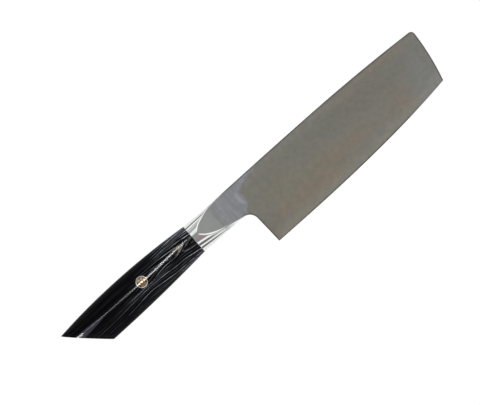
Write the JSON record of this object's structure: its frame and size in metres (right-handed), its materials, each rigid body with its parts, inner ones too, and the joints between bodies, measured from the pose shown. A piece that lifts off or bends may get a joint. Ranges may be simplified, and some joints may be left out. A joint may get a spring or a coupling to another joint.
{
  "type": "kitchen cleaver",
  "caption": "Square-fronted vegetable cleaver with a thin flat-ground blade, a hollowed polished bolster, and a dark laminated handle held by glue and a mosaic pin.",
  "frame": {"origin": "on the surface the knife lies on, under the middle of its outline, with the knife on its left side", "axes": "+X from the butt to the tip, +Y from the edge to the spine, +Z out of the right cheek"},
  "size_m": [0.31, 0.052, 0.0222],
  "materials": {
    "blade_steel": "satin ground stainless steel with a faint clouded tint",
    "polished_steel": "mirror polished stainless steel",
    "laminated_wood": "black resin-laminated wood with fine grey veneer lines, polished",
    "glue": "cured epoxy",
    "pin_tube_metal": "pale brass tube, ground flush",
    "pin_resin": "dark resin, ground flush",
    "pin_rod_brass": "brass rod ends, ground flush"
  },
  "bodies": {
    "root": {"blade": "blade_steel", "bolster": "polished_steel", "handle_block": "laminated_wood", "tang_bedding": "glue", "pin_tube": "pin_tube_metal", "pin_resin": "pin_resin", "pin_core": "pin_rod_brass", "pin_rod_1": "pin_rod_brass", "pin_rod_2": "pin_rod_brass", "pin_rod_3": "pin_rod_brass", "pin_rod_4": "pin_rod_brass", "pin_rod_5": "pin_rod_brass", "pin_rod_6": "pin_rod_brass"}
  },
  "joints": []
}
